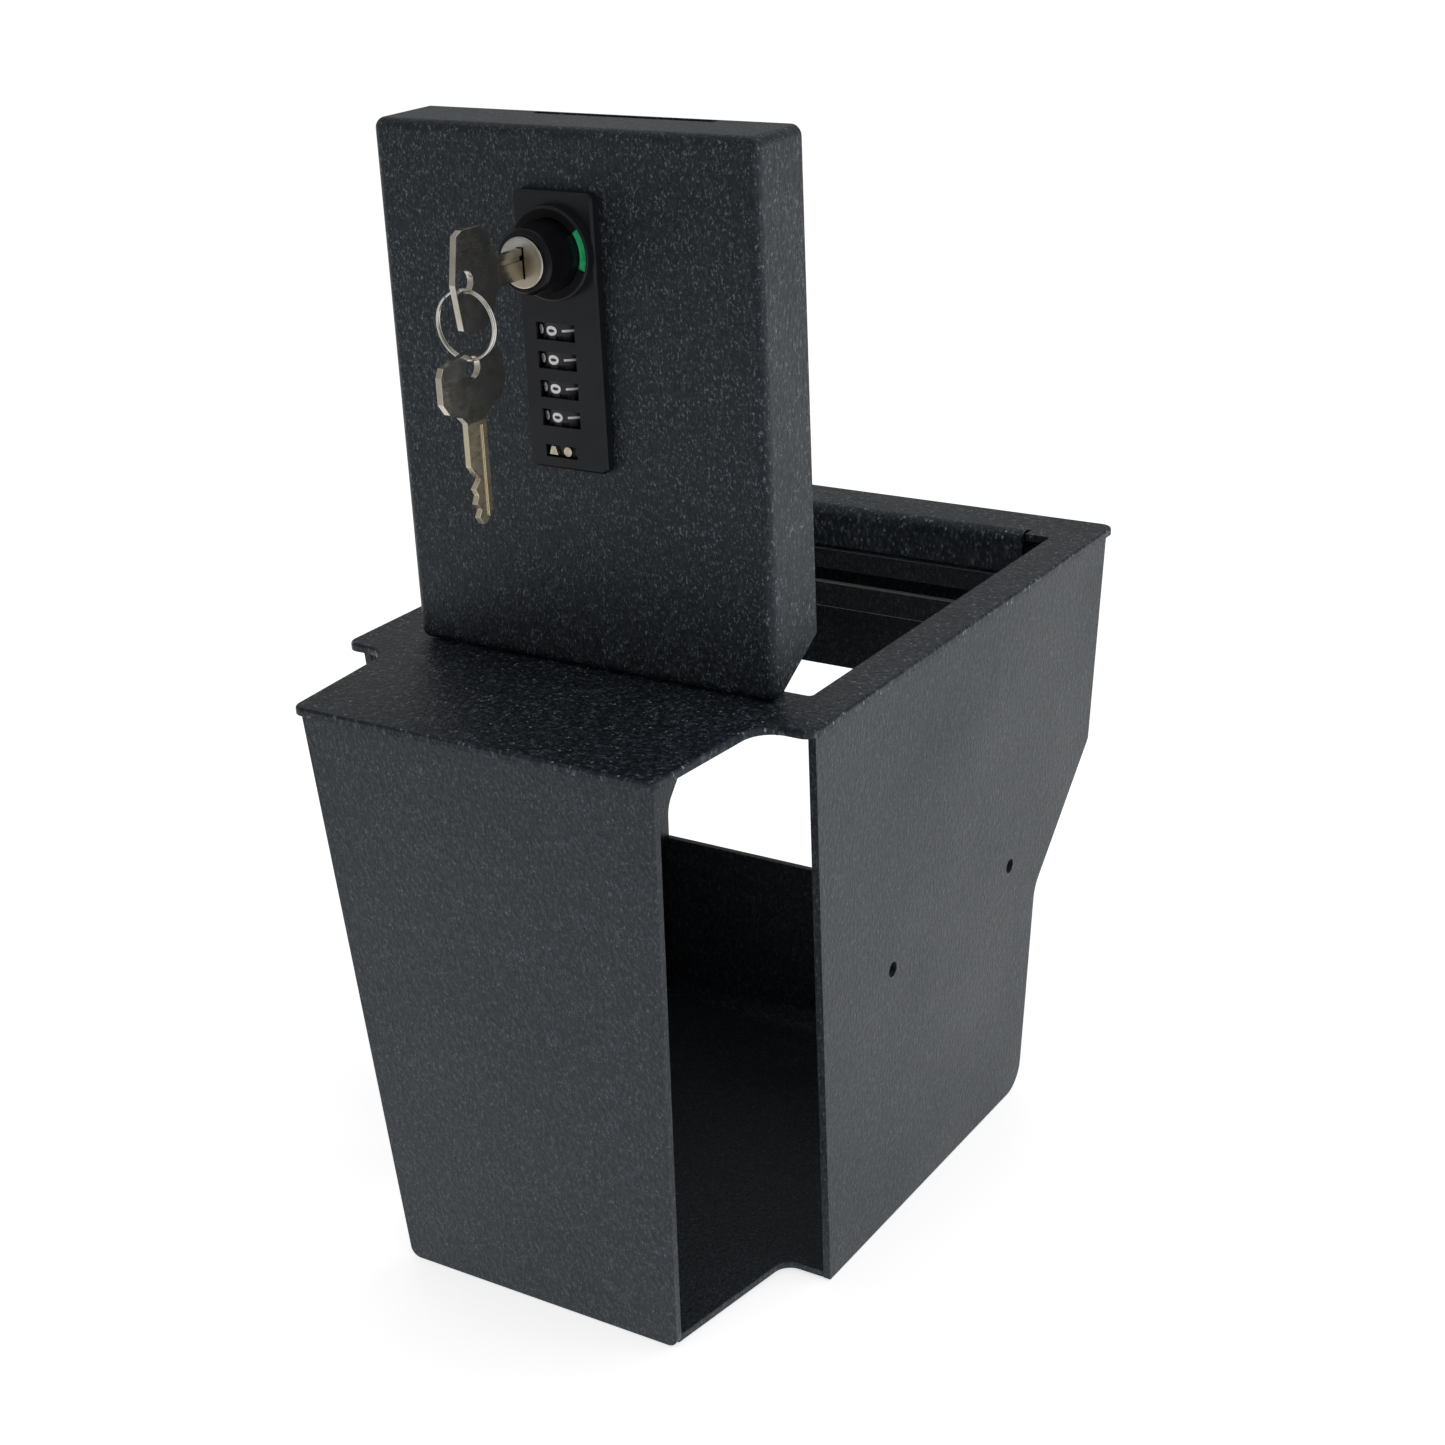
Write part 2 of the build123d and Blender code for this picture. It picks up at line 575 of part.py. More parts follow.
# ------------------------------------------------------------- lock face plate
dial_z = [DIAL_TOP - DIAL_PITCH * i for i in range(4)]
with BuildPart() as faceplate:
    with BuildSketch(facing(LID_FACE)) as faceplate_outline:
        with Locations((0, PLATE_MID)):
            RectangleRounded(PLATE_W, PLATE_H, 2.2)
    extrude(amount=LID_FACE - PLATE_FRONT)
    chamfer(faceplate.faces().sort_by(Axis.Y)[0].edges(), length=0.7)
    with BuildSketch(facing(PLATE_FRONT)) as collar_outline:
        with Locations((0, LOCK_Z)):
            Circle(COLLAR_R)
    extrude(amount=PLATE_FRONT - COLLAR_FRONT)
    collar_rim = faceplate.faces().sort_by(Axis.Y)[0].edges()
    fillet(collar_rim, radius=0.6)
    # rear boss filling the lid cut-out
    with BuildSketch(facing(LID_FACE)) as boss_outline:
        with Locations((0, (CUT_FOOT + 0.2 + 309.5) / 2)):
            RectangleRounded(2 * CUT_HALF - 0.4, 309.5 - CUT_FOOT - 0.2, 1.0)
    extrude(amount=-SHEET)
    # room for the indicator disc, bore and window in its roof
    with BuildSketch(facing(COLLAR_FRONT + COLLAR_ROOF)) as disc_room:
        with Locations((0, LOCK_Z)):
            Circle(COLLAR_ROOM)
    extrude(amount=-12, mode=Mode.SUBTRACT)
    with BuildSketch(facing(COLLAR_FRONT)) as roof_cut:
        with Locations((0, LOCK_Z)):
            Circle(COLLAR_BORE)
        with BuildLine() as arc_window:
            inner_arc = CenterArc((0, LOCK_Z), COLLAR_BORE - 0.3, SECTOR_START, SECTOR_ARC)
            outer_arc = CenterArc((0, LOCK_Z), SECTOR_OUT + 0.2, SECTOR_START, SECTOR_ARC)
            Line(inner_arc @ 0, outer_arc @ 0)
            Line(inner_arc @ 1, outer_arc @ 1)
        make_face()
    extrude(amount=-COLLAR_ROOF, mode=Mode.SUBTRACT)
    # dial windows with a common pocket behind the skin
    with BuildSketch(facing(PLATE_FRONT)) as dial_windows:
        with Locations([(WINDOW_X, z) for z in dial_z]):
            Rectangle(WINDOW_W, WINDOW_H)
        with Locations((RESET_X, RESET_Z)):
            Rectangle(RESET_W, RESET_H)
    extrude(amount=-8, mode=Mode.SUBTRACT)
    with BuildSketch(facing(PLATE_FRONT + SKIN)) as dial_pocket:
        with Locations((DIAL_X, (CHAMBER_FOOT + CHAMBER_TOP) / 2)):
            Rectangle(DIAL_ROOM, CHAMBER_TOP - CHAMBER_FOOT)
        with Locations((RESET_X, RESET_Z)):
            Rectangle(RESET_ROOM, RESET_H + 0.4)
    extrude(amount=-8, mode=Mode.SUBTRACT)
    with BuildSketch(facing(PLATE_FRONT + 1.6)) as faceplate_threads:
        with Locations(SCREWS):
            Circle(1.27)
    extrude(amount=-8, mode=Mode.SUBTRACT)
faceplate.part.label = "lock_faceplate"
export_step(faceplate.part, "parts/lock_faceplate.step")

# ------------------------------------------------------- lock case inside the lid
CASE_FRONT = LID_FACE + SHEET
with BuildPart() as lock_case:
    with BuildSketch(facing(CASE_FRONT)) as case_outline:
        with Locations((0, PLATE_MID + 0.3)):
            RectangleRounded(30, 84, 2.5)
    extrude(amount=-(CASE_BACK - CASE_FRONT))
    chamfer(lock_case.faces().sort_by(Axis.Y)[-1].edges(), length=1.0)
    with BuildSketch(facing(CASE_FRONT)) as nose_outline:
        with Locations((0, LOCK_Z)):
            Circle(11.6)
    extrude(amount=SHEET - 0.1)
    with BuildSketch(facing(CASE_FRONT - 5)) as barrel_bore:
        with Locations((0, LOCK_Z)):
            Circle(9.0)
    extrude(amount=-(80.1 - CASE_FRONT + 5), mode=Mode.SUBTRACT)
    with BuildSketch(facing(80)) as spindle_bore:
        with Locations((0, LOCK_Z)):
            Circle(5.1)
    extrude(amount=-10, mode=Mode.SUBTRACT)
    with BuildSketch(facing(CASE_FRONT)) as chamber:
        with Locations((DIAL_X, (CHAMBER_FOOT + CHAMBER_TOP) / 2)):
            Rectangle(DIAL_ROOM, CHAMBER_TOP - CHAMBER_FOOT)
    extrude(amount=-(BAR_FRONT + 0.5 - CASE_FRONT), mode=Mode.SUBTRACT)
    with BuildSketch(facing(BAR_FRONT - 0.3)) as bar_guide:
        with Locations((DIAL_X, (CHAMBER_FOOT + BAR_TOP + 2.5) / 2)):
            Rectangle(BAR_W + 0.6, BAR_TOP + 2.5 - CHAMBER_FOOT)
    extrude(amount=-(BAR_THICK + 0.5), mode=Mode.SUBTRACT)
    with BuildSketch(level(CHAMBER_FOOT - 3.2)) as shaft_hole:
        with Locations((DIAL_X, DIAL_Y)):
            Circle(2.02)
    extrude(amount=CHAMBER_TOP - CHAMBER_FOOT + 6.4, mode=Mode.SUBTRACT)
    with BuildSketch(facing(CASE_FRONT)) as slider_room:
        with Locations((RESET_X, RESET_Z)):
            Rectangle(RESET_ROOM, RESET_H + 0.4)
    extrude(amount=-3, mode=Mode.SUBTRACT)
    with BuildSketch(facing(CASE_FRONT)) as case_screw_holes:
        with Locations(SCREWS):
            Circle(1.27)
    extrude(amount=-40, mode=Mode.SUBTRACT)
lock_case.part.label = "lock_case"
export_step(lock_case.part, "parts/lock_case.step")

with BuildPart() as lock_screws:
    with BuildSketch(facing(PLATE_FRONT + 2.0)) as screw_shanks:
        with Locations(SCREWS):
            Circle(1.25)
    extrude(amount=-(CASE_BACK - PLATE_FRONT - 2.0))
    with BuildSketch(facing(CASE_BACK)) as screw_heads:
        with Locations(SCREWS):
            Circle(2.3)
    extrude(amount=-1.5)
    with BuildSketch(facing(CASE_BACK + 0.8)) as screw_recesses:
        with Locations(SCREWS):
            Rectangle(2.6, 0.6)
            Rectangle(0.6, 2.6)
    extrude(amount=-2, mode=Mode.SUBTRACT)
lock_screws.part.label = "lock_screws"
export_step(lock_screws.part, "parts/lock_screws.step")

# ----------------------------------------------------------------------- knob
DISC_FRONT = COLLAR_FRONT + COLLAR_ROOF + 0.2
with BuildPart() as knob:
    with BuildSketch(level(LOCK_Z)) as knob_profile:
        with BuildLine() as knob_profile_edge:
            Polyline(
                (7.4, 44.0),
                (8.4, 44.0),
                (9.3, 44.9),
                (10.1, 55.0),
                (10.1, DISC_FRONT),
                (DISC_R, DISC_FRONT),
                (DISC_R, 58.6),
                (6.6, 58.6),
                (6.6, 45.1),
                (7.4, 45.1),
                close=True,
            )
        make_face()
    revolve(axis=Axis((0, 0, LOCK_Z), (0, 1, 0)), revolution_arc=360)
    with BuildSketch(facing(DISC_FRONT)) as sector_pockets:
        for start in (SECTOR_START, SECTOR_START + 90):
            with BuildLine() as pocket_edge:
                pocket_in = CenterArc((0, LOCK_Z), SECTOR_IN, start, SECTOR_ARC)
                pocket_out = CenterArc((0, LOCK_Z), SECTOR_OUT, start, SECTOR_ARC)
                Line(pocket_in @ 0, pocket_out @ 0)
                Line(pocket_in @ 1, pocket_out @ 1)
            make_face()
    extrude(amount=-0.6, mode=Mode.SUBTRACT)
knob.part.label = "knob"
export_step(knob.part, "parts/knob.step")

# status sectors let into the disc of the knob
sector_starts = (("indicator_green", SECTOR_START), ("indicator_red", SECTOR_START + 90))
for sector_name, start in sector_starts:
    with BuildPart() as sector:
        with BuildSketch(facing(DISC_FRONT + 0.6)) as sector_face:
            with BuildLine() as sector_edge:
                sector_in = CenterArc((0, LOCK_Z), SECTOR_IN + 0.02, start + 0.1, SECTOR_ARC - 0.2)
                sector_out = CenterArc((0, LOCK_Z), SECTOR_OUT - 0.02, start + 0.1, SECTOR_ARC - 0.2)
                Line(sector_in @ 0, sector_out @ 0)
                Line(sector_in @ 1, sector_out @ 1)
            make_face()
        extrude(amount=0.7)
    sector.part.label = sector_name
    export_step(sector.part, f"parts/{sector_name}.step")

# -------------------------------------------------- barrel that turns the cam
with BuildPart() as barrel:
    with BuildSketch(level(LOCK_Z)) as barrel_profile:
        with BuildLine() as barrel_profile_edge:
            Polyline(
                (6.6, 58.6),
                (8.9, 58.6),
                (8.9, 80.0),
                (5.0, 80.0),
                (5.0, CAM_HUB_Y),
                (2.02, CAM_HUB_Y),
                (2.02, 84.0),
                (0, 84.0),
                (0, 74.5),
                (6.6, 74.5),
                close=True,
            )
        make_face()
    revolve(axis=Axis((0, 0, LOCK_Z), (0, 1, 0)), revolution_arc=360)
    with BuildSketch(facing(CAM_HUB_Y)) as drive_square:
        with Locations((0, LOCK_Z)):
            Rectangle(6.8, 6.8)
            Circle(2.02, mode=Mode.SUBTRACT)
    extrude(amount=-(CAM_THICK - 0.1))
    with BuildSketch(facing(BAR_FRONT - 0.3)) as bar_notches:
        with Locations((DIAL_X, LOCK_Z - 8.9)):
            Rectangle(BAR_W + 0.8, 5.6)
        with Locations((8.9, LOCK_Z + DIAL_X)):
            Rectangle(5.6, BAR_W + 0.8)
    extrude(amount=-4, mode=Mode.SUBTRACT)
barrel.part.label = "spindle_barrel"
export_step(barrel.part, "parts/spindle_barrel.step")

# ------------------------------------------------------------------- key plug
with BuildPart() as key_plug:
    with BuildSketch(facing(PLUG_FRONT)) as plug_head:
        with Locations((0, LOCK_Z)):
            Circle(7.25)
    extrude(amount=-1.7)
    fillet(key_plug.faces().sort_by(Axis.Y)[0].edges(), radius=0.5)
    with BuildSketch(facing(PLUG_FRONT + 1.7)) as plug_body:
        with Locations((0, LOCK_Z)):
            Circle(6.5)
    extrude(amount=-(74.2 - PLUG_FRONT - 1.7))
    with BuildSketch(facing(PLUG_FRONT)) as keyway:
        with Locations((0, LOCK_Z)):
            Rectangle(2.4, 8.8)
    extrude(amount=-20.5, mode=Mode.SUBTRACT)
key_plug.part.label = "key_plug"
export_step(key_plug.part, "parts/key_plug.step")

# ----------------------------------------------- bar that blocks the barrel
with BuildPart() as locking_bar:
    with BuildSketch(facing(BAR_FRONT)) as bar_face:
        with Locations((DIAL_X, (BAR_FOOT + BAR_TOP) / 2)):
            Rectangle(BAR_W, BAR_TOP - BAR_FOOT)
    extrude(amount=-BAR_THICK)
    with BuildSketch(facing(BAR_FRONT)) as bar_gates:
        with Locations([(DIAL_X, z) for z in dial_z]):
            Rectangle(BAR_W, 2.4)
    extrude(amount=-0.8, mode=Mode.SUBTRACT)
locking_bar.part.label = "locking_bar"
export_step(locking_bar.part, "parts/locking_bar.step")

# --------------------------------------------------------------------- dials
for index, z in enumerate(dial_z):
    with BuildPart() as dial:
        with BuildSketch(level(z - DIAL_W / 2 + 1.3)) as drum:
            with Locations((DIAL_X, DIAL_Y)):
                Circle(DIAL_R)
                Circle(2.1, mode=Mode.SUBTRACT)
        extrude(amount=DIAL_W - 1.3)
        with BuildSketch(level(z - DIAL_W / 2)) as ratchet:
            with Locations((DIAL_X, DIAL_Y)):
                Circle(DIAL_R - 0.3)
                Circle(2.1, mode=Mode.SUBTRACT)
                with PolarLocations(DIAL_R, 10, start_angle=0):
                    Circle(1.2, mode=Mode.SUBTRACT)
        extrude(amount=1.3)
    dial.part.label = f"dial_{index + 1}"
    export_step(dial.part, f"parts/dial_{index + 1}.step")

with BuildPart() as dial_shaft:
    with BuildSketch(level(CHAMBER_FOOT - 3.0)) as shaft_section:
        with Locations((DIAL_X, DIAL_Y)):
            Circle(2.0)
    extrude(amount=CHAMBER_TOP - CHAMBER_FOOT + 6.0)
dial_shaft.part.label = "dial_shaft"
export_step(dial_shaft.part, "parts/dial_shaft.step")

# -------------------------------------------- comb spring that clicks the dials
with BuildPart() as detent_spring:
    with BuildSketch(facing(BAR_FRONT - 0.2)) as comb_back:
        with Locations((DIAL_X - 7.0, (BAR_FOOT + 301.3) / 2)):
            Rectangle(2.0, 30.3)
        with Locations([(DIAL_X - 4.4, z - 2.15) for z in dial_z]):
            Rectangle(4.8, 1.1)
    extrude(amount=-0.5)
    for z in dial_z:
        with BuildSketch(level(z - 2.7)) as comb_bump:
            with Locations((DIAL_X - 2.65, BAR_FRONT - 0.3)):
                Circle(0.7)
        extrude(amount=1.1)
detent_spring.part.label = "detent_spring"
export_step(detent_spring.part, "parts/detent_spring.step")

# ----------------------------------------------------- slider for a new code
with BuildPart() as code_slider:
    with BuildSketch(facing(PLATE_FRONT + 1.9)) as slider_base:
        with Locations((RESET_X - 0.6, RESET_Z)):
            Rectangle(11.0, 3.5)
    extrude(amount=-5.3)
    with BuildSketch(facing(PLATE_FRONT + 0.6)) as slider_thumbs:
        with Locations((RESET_X - 3.3, RESET_Z)):
            Trapezoid(3.0, 2.5, 72)
        with Locations((RESET_X + 1.7, RESET_Z)):
            Circle(1.4)
    extrude(amount=-1.4)
code_slider.part.label = "code_slider"
export_step(code_slider.part, "parts/code_slider.step")

# ------------------------------------------------------------------ cranked cam
with BuildPart() as cam:
    with BuildSketch(level(LOCK_Z - CAM_HALF)) as cam_side:
        with BuildLine() as cam_side_edge:
            Polyline(
                (8.5, CAM_HUB_Y),
                (8.5, CAM_HUB_Y + CAM_THICK),
                (-12.6, CAM_HUB_Y + CAM_THICK),
                (-24.6, CAM_TIP_Y + CAM_THICK),
                (-CAM_REACH, CAM_TIP_Y + CAM_THICK),
                (-CAM_REACH, CAM_TIP_Y),
                (-25.4, CAM_TIP_Y),
                (-13.4, CAM_HUB_Y),
                close=True,
            )
        make_face()
    extrude(amount=2 * CAM_HALF)
    with BuildSketch(facing(CAM_HUB_Y - 5)) as cam_outline:
        with BuildLine() as cam_outline_edge:
            Polyline(
                (8.5, LOCK_Z - CAM_HALF),
                (8.5, LOCK_Z + CAM_HALF),
                (-20, LOCK_Z + CAM_HALF),
                (-CAM_REACH, LOCK_Z + 5.5),
                (-CAM_REACH, LOCK_Z - 5.5),
                (-20, LOCK_Z - CAM_HALF),
                close=True,
            )
        make_face()
        fillet(cam_outline.vertices().filter_by_position(Axis.X, 8, 9), radius=5.0)
        fillet(cam_outline.vertices().filter_by_position(Axis.X, -47, -45), radius=2.5)
        with Locations((0, LOCK_Z)):
            Rectangle(7.0, 7.0, mode=Mode.SUBTRACT)
    extrude(amount=-40, mode=Mode.INTERSECT)
cam.part.label = "cam"
export_step(cam.part, "parts/cam.step")

with BuildPart() as cam_screw:
    with BuildSketch(facing(84.5)) as cam_screw_shank:
        with Locations((0, LOCK_Z)):
            Circle(2.0)
    extrude(amount=-(CAM_HUB_Y + CAM_THICK - 84.5))
    with BuildSketch(facing(CAM_HUB_Y + CAM_THICK)) as cam_screw_flange:
        with Locations((0, LOCK_Z)):
            Circle(6.0)
    extrude(amount=-0.9)
    with BuildSketch(facing(CAM_HUB_Y + CAM_THICK + 0.9)) as cam_screw_hex:
        with Locations((0, LOCK_Z)):
            RegularPolygon(4.6, 6)
    extrude(amount=-3.4)
    fillet(cam_screw.faces().sort_by(Axis.Y)[-1].edges(), radius=0.5)
cam_screw.part.label = "cam_screw"
export_step(cam_screw.part, "parts/cam_screw.step")


# ----------------------------------------------------------------------- keys
def key_solid(plane):
    """A flat key; the plane's x runs from the bow to the tip, its normal is the thickness."""
    with BuildPart(mode=Mode.PRIVATE) as key:
        with BuildSketch(plane.offset(-BOW_THICK / 2)) as bow:
            with BuildLine() as bow_edge:
                Polyline(
                    (0, 0),
                    (2.2, 12.6),
                    (4.6, 13.8),
                    (12.0, 13.8),
                    (15.2, 11.4),
                    (17.3, 6.4),
                    (19.4, 4.2),
                    (19.4, -4.2),
                    (17.3, -6.4),
                    (15.2, -11.4),
                    (12.0, -13.8),
                    (4.6, -13.8),
                    (2.2, -12.6),
                    close=True,
                )
            make_face()
            with Locations((KEY_HOLE_AT, 0)):
                Circle(KEY_HOLE_R, mode=Mode.SUBTRACT)
        extrude(amount=BOW_THICK)
        with BuildSketch(plane.offset(-BLADE_THICK / 2)) as blade:
            with BuildLine() as blade_edge:
                Polyline(
                    (19.0, 4.2),
                    (45.6, 4.2),
                    (KEY_LENGTH, 1.0),
                    (KEY_LENGTH, -0.6),
                    (46.4, -2.2),
                    (44.6, -1.0),
                    (42.4, -2.9),
                    (40.2, -1.8),
                    (38.2, -3.0),
                    (36.0, -0.6),
                    (33.8, -2.6),
                    (31.6, -4.2),
                    (19.0, -4.2),
                    close=True,
                )
            make_face()
        extrude(amount=BLADE_THICK)
        with BuildSketch(plane.offset(BLADE_THICK / 2 - 0.45)) as groove:
            with Locations((34.0, 1.6)):
                Rectangle(26.0, 1.3)
        extrude(amount=1.0, mode=Mode.SUBTRACT)
    return key.part


key_in_lock = key_solid(Plane(origin=(0, DATUM_Y + KEY_APEX_Y, LOCK_Z), x_dir=(0, 1, 0), z_dir=(1, 0, 0)))
key_in_lock.label = "key_in_lock"
export_step(key_in_lock, "parts/key_in_lock.step")

RING_Y = KEY_APEX_Y + KEY_HOLE_AT
RING_Z = LOCK_Z - KEY_HOLE_R + HANG_GAP + RING_WIRE - RING_R
with BuildPart() as key_ring:
    with BuildSketch(level(RING_Z)) as ring_wire:
        with Locations((RING_R, RING_Y)):
            Circle(RING_WIRE)
    revolve(axis=Axis((0, DATUM_Y + RING_Y, RING_Z), (0, 1, 0)), revolution_arc=360)
key_ring.part.label = "key_ring"
export_step(key_ring.part, "parts/key_ring.step")

SPARE_TOP = RING_Z - RING_R + RING_WIRE + HANG_GAP - KEY_HOLE_R + KEY_HOLE_AT
spare_key = key_solid(Plane(origin=(0, DATUM_Y + RING_Y, SPARE_TOP), x_dir=(0, 0, -1), z_dir=(1, 0, 0)))
spare_key.label = "spare_key"
export_step(spare_key, "parts/spare_key.step")
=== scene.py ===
import json
import math

import bmesh
import bpy
from mathutils import Matrix, Vector


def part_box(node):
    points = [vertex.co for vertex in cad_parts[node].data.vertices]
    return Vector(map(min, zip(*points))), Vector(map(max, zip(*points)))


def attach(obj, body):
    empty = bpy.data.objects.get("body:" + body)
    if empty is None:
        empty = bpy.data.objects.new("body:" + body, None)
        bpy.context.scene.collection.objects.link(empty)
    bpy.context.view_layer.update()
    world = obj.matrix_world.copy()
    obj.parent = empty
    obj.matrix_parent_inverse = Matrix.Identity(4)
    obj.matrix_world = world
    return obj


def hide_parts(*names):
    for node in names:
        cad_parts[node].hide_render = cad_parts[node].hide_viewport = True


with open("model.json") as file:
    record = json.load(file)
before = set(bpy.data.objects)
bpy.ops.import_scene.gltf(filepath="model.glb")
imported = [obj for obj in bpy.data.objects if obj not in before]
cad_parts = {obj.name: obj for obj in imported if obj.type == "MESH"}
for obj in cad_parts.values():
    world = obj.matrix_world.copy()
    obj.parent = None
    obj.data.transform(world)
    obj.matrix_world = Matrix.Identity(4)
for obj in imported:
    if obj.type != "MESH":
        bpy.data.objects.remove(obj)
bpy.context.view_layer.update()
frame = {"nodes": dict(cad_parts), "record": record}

NODES = frame["nodes"]
MM = 0.001
scene = bpy.context.scene

# ------------------------------------------------------------------ materials
# Noise and cell scales are features per metre. Bump heights are metres. Colours are linear.
# pale grain of the coat, partly its own grain and partly painted sheen
GRAIN_AND_SHEEN_GREY = (0.157, 0.180, 0.212)
COAT_CAST = (0.79, 0.91, 1.0, 1.0)      # cool cast of the coat's gloss
EDGE_HIGHLIGHT_HALF = 0.22 * MM                   # half height of a painted highlight line along a sheet edge
# colour of the painted highlights along sheet edges
EDGE_HIGHLIGHT_GREY = (0.46, 0.45, 0.43)
EDGE_HIGHLIGHT_SHARE = 0.55
GRAIN_LIE = (1.0, 1.0, 0.55)            # the grain is drawn out in height
STROKE_LIE = (1.0, 1.0, 0.28)
STROKE_LEANS = (0.85, -0.55)
NICKEL = (0.50, 0.48, 0.44), (0.64, 0.62, 0.57), (0.70, 0.68, 0.64)      # dark, middle and bright clouds
RUBBED_BRASS = (0.60, 0.49, 0.29)
BLADE_BRASS = (0.66, 0.57, 0.38)
BOW_HEIGHT = 19.6 * MM                  # from the spare key's top to where its blade starts
BLADE_BLEND = 0.6 * MM
# colour and reach of a darker spot at the middle of the plug's face
CENTRE_DARK = (0.16, 0.13, 0.085)
CENTRE_DARK_REACH = (2.4 * MM, 5.2 * MM)
# painted shade in the ring between knob and collar
PAINTED_RING_SHADE = (0.001, 0.001, 0.0015)
RING_SHADE_REACH = (12.5 * MM, 12.9 * MM)   # from the knob's axis: painted shade inside, the collar outside
STUD_BASE = (0.012, 0.011, 0.010)
STUD_DEPTH = (0.80 * MM, 1.10 * MM)     # behind the slider's front: brass before it, blackened past it
NOISE_RANGE = (0.3, 0.7)                # the values that a noise mostly takes
FLOOR_GLOW = 0.66
GLOW_FAR = 0.25                         # share of the glow that is left in front of the object
GLOW_RANGE = (-0.75, -0.38)             # where along Y the glow fades, in metres


class Shader:
    """A small builder for one Principled material and the nodes that feed it."""

    def __init__(self, name):
        self.mat = bpy.data.materials.new(name)
        self.mat.use_nodes = True
        self.tree = self.mat.node_tree
        self.bsdf = self.tree.nodes["Principled BSDF"]
        self.coords = self.add("ShaderNodeTexCoord").outputs["Object"]

    def add(self, kind, **sockets):
        node = self.tree.nodes.new(kind)
        for key, value in sockets.items():
            node.inputs[key.replace("_", " ")].default_value = value
        return node

    def link(self, out, into):
        self.tree.links.new(out, into)

    def feed(self, node, *pairs):
        """Sets each input of the node to a number, a colour or another node's output."""
        for key, value in pairs:
            if isinstance(value, (int, float)):
                node.inputs[key].default_value = value
            elif isinstance(value, tuple):
                node.inputs[key].default_value = (*value, 1.0)
            else:
                self.link(value, node.inputs[key])

    def along(self, axis):
        """The X, Y or Z of a point."""
        node = self.add("ShaderNodeSeparateXYZ")
        self.link(self.coords, node.inputs[0])
        return node.outputs["XYZ".index(axis)]

    def distance(self, spot, vector=None):
        """How far a point is from the spot."""
        node = self.add("ShaderNodeVectorMath")
        node.operation = "DISTANCE"
        self.link(vector or self.coords, node.inputs[0])
        node.inputs[1].default_value = spot
        return node.outputs["Value"]

    def mapped(self, scale=(1, 1, 1), turn=(0, 0, 0), vector=None):
        node = self.add("ShaderNodeMapping", Scale=scale, Rotation=turn)
        self.link(vector or self.coords, node.inputs["Vector"])
        return node.outputs["Vector"]

    def noise(self, scale, detail=2.0, rough=0.5, vector=None):
        node = self.add("ShaderNodeTexNoise", Scale=scale, Detail=detail, Roughness=rough)
        self.link(vector or self.coords, node.inputs["Vector"])
        return node.outputs["Fac"]

    def cells(self, scale, vector):
        """The distance from the middle of the nearest cell, and that cell's own random colour."""
        node = self.add("ShaderNodeTexVoronoi", Scale=scale)
        self.link(vector, node.inputs["Vector"])
        return node.outputs["Distance"], node.outputs["Color"]

    def ramp(self, value, stops):
        node = self.add("ShaderNodeValToRGB")
        elements = node.color_ramp.elements
        while len(elements) < len(stops):
            elements.new(0.5)
        for element, (position, colour) in zip(elements, stops):
            element.position = position
            element.color = (*colour, 1.0)
        self.link(value, node.inputs["Fac"])
        return node.outputs["Color"]

    def span(self, value, low, high, start=0.0, end=1.0):
        """low to high as value goes from start to end."""
        node = self.add("ShaderNodeMapRange", From_Min=start, From_Max=end, To_Min=low, To_Max=high)
        self.link(value, node.inputs["Value"])
        return node.outputs["Result"]

    def vary(self, noise, low, high):
        return self.span(noise, low, high, *NOISE_RANGE)

    def mix(self, factor, a, b, mode="MIX"):
        node = self.add("ShaderNodeMix")
        node.data_type = "RGBA"
        node.blend_type = mode
        self.feed(node, (0, factor), (6, a), (7, b))
        return node.outputs[2]

    def math(self, kind, a, b=0.0, c=0.5):
        node = self.add("ShaderNodeMath")
        node.operation = kind
        self.feed(node, (0, a), (1, b), (2, c))
        return node.outputs[0]

    def average(self, a, b):
        return self.math("ADD", self.math("MULTIPLY", a, 0.5), self.math("MULTIPLY", b, 0.5))

    def bump(self, height, strength, distance, normal=None):
        node = self.add("ShaderNodeBump", Strength=strength, Distance=distance)
        self.link(height, node.inputs["Height"])
        if normal is not None:
            self.link(normal, node.inputs["Normal"])
        return node.outputs["Normal"]

    def finish(self, colour, rough, normal=None, **constants):
        self.link(colour, self.bsdf.inputs["Base Color"])
        self.link(rough, self.bsdf.inputs["Roughness"])
        if normal is not None:
            self.link(normal, self.bsdf.inputs["Normal"])
        for key, value in constants.items():
            self.bsdf.inputs[key.replace("_", " ")].default_value = value
        return self.mat


def scaled(colour, factor):
    return tuple(channel * factor for channel in colour)


